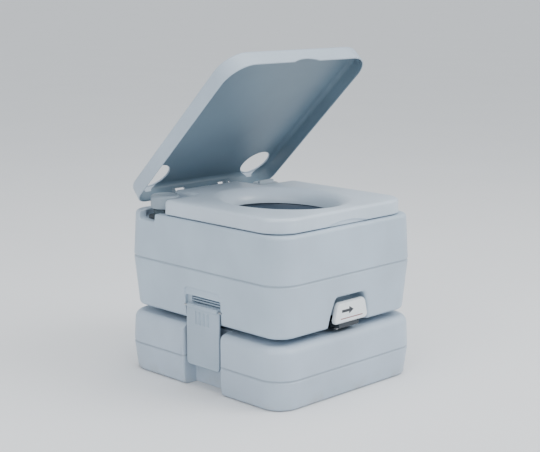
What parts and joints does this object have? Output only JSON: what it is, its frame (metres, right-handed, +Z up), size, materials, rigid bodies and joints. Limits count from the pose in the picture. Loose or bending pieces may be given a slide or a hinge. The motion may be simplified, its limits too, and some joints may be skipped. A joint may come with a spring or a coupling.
{
  "type": "cassette toilet",
  "caption": "Portable cassette toilet: flush tank with bowl, seat and open lid clipped on a waste tank with a slide valve.",
  "frame": {"origin": "middle of the waste tank's underside, on the floor", "axes": "+Z up, -Y towards the front with the pull handle, +X to the user's left when seated (the viewer's right from the front)"},
  "size_m": [0.368, 0.419, 0.6067],
  "materials": {
    "tank": "light grey satin moulded polyethylene",
    "base": "light grey satin moulded polyethylene",
    "seat": "pale grey smooth polypropylene",
    "lid": "grey smooth polypropylene",
    "bowl": "grey glossy polypropylene",
    "clasp": "grey moulded plastic",
    "pump": "grey moulded plastic",
    "valve": "dark grey moulded plastic",
    "label": "white printed plastic film",
    "rubber": "black rubber",
    "tube": "pale clear hose",
    "steel": "stainless steel"
  },
  "bodies": {
    "waste": {"waste_tank": "base", "valve_base": "valve", "valve_lip_seal": "rubber", "valve_cover": "valve", "bowl_outlet_seal": "rubber", "valve_screw_1": "steel", "valve_screw_2": "steel", "valve_screw_3": "steel", "valve_screw_4": "steel", "valve_screw_5": "steel", "valve_screw_6": "steel", "vent_seal": "rubber", "vent_spring": "steel", "spout_ring": "valve", "spout_seal": "rubber"},
    "gate": {"valve_blade": "valve", "pull_handle": "tank", "handle_label": "label", "handle_screw_left": "steel", "handle_screw_right": "steel"},
    "vent": {"vent_button": "valve"},
    "spout": {"pouring_spout": "valve", "spout_cap_seal": "rubber"},
    "spout_cap": {"spout_cap": "valve"},
    "flush": {"flush_tank": "tank", "bowl": "bowl", "pump_body": "valve", "pump_bellows": "rubber", "pump_spring": "steel", "intake_tube": "tube", "delivery_tube": "tube", "flush_nozzle": "valve", "filler_gasket": "rubber", "hinge_pin_left": "steel", "hinge_pin_right": "steel", "clasp_pin_left": "steel", "clasp_pin_right": "steel"},
    "pump": {"pump_head": "pump"},
    "filler": {"filler_cap": "pump"},
    "seat": {"seat": "seat"},
    "lid": {"lid": "lid"},
    "clasp_left": {"clasp_left": "clasp"},
    "clasp_right": {"clasp_right": "clasp"}
  },
  "joints": [
    {"name": "blade_slide", "type": "slide", "parent": "waste", "child": "gate", "axis": [0, -1, 0], "range_m": [0, 0.098]},
    {"name": "tank_lift", "type": "slide", "parent": "waste", "child": "flush", "axis": [0, 0, 1], "range_m": [0, 0.15]},
    {"name": "vent_press", "type": "slide", "parent": "waste", "child": "vent", "axis": [0, 0, -1], "range_m": [0, 0.003], "stiffness_N_per_m": 800, "springref_m": -0.002, "deforming": ["vent_spring"]},
    {"name": "spout_swivel", "type": "hinge", "parent": "waste", "child": "spout", "pos_m": [0.14, 0.176, 0.084], "axis": [0, 0, -1], "range_deg": [0, 90]},
    {"name": "spout_cap_turn", "type": "hinge", "parent": "spout", "child": "spout_cap", "pos_m": [0.062, 0.176, 0.084], "axis": [-1, 0, 0], "range_deg": [0, 90]},
    {"name": "pump_press", "type": "slide", "parent": "flush", "child": "pump", "axis": [0, 0, -1], "range_m": [0, 0.01], "stiffness_N_per_m": 500, "springref_m": -0.004, "deforming": ["pump_spring", "pump_bellows"]},
    {"name": "filler_turn", "type": "hinge", "parent": "flush", "child": "filler", "pos_m": [0.132, 0.145, 0.31], "axis": [0, 0, 1], "range_deg": [0, 90]},
    {"name": "seat_hinge", "type": "hinge", "parent": "flush", "child": "seat", "pos_m": [0, 0.197, 0.314], "axis": [-1, 0, 0], "range_deg": [0, 85]},
    {"name": "lid_hinge", "type": "hinge", "parent": "seat", "child": "lid", "pos_m": [0, 0.197, 0.314], "axis": [-1, 0, 0], "range_deg": [-44, 44]},
    {"name": "clasp_left_hinge", "type": "hinge", "parent": "flush", "child": "clasp_left", "pos_m": [-0.175, -0.007, 0.15], "axis": [0, 1, 0], "range_deg": [0, 40]},
    {"name": "clasp_right_hinge", "type": "hinge", "parent": "flush", "child": "clasp_right", "pos_m": [0.175, -0.007, 0.15], "axis": [0, -1, 0], "range_deg": [0, 40]}
  ]
}
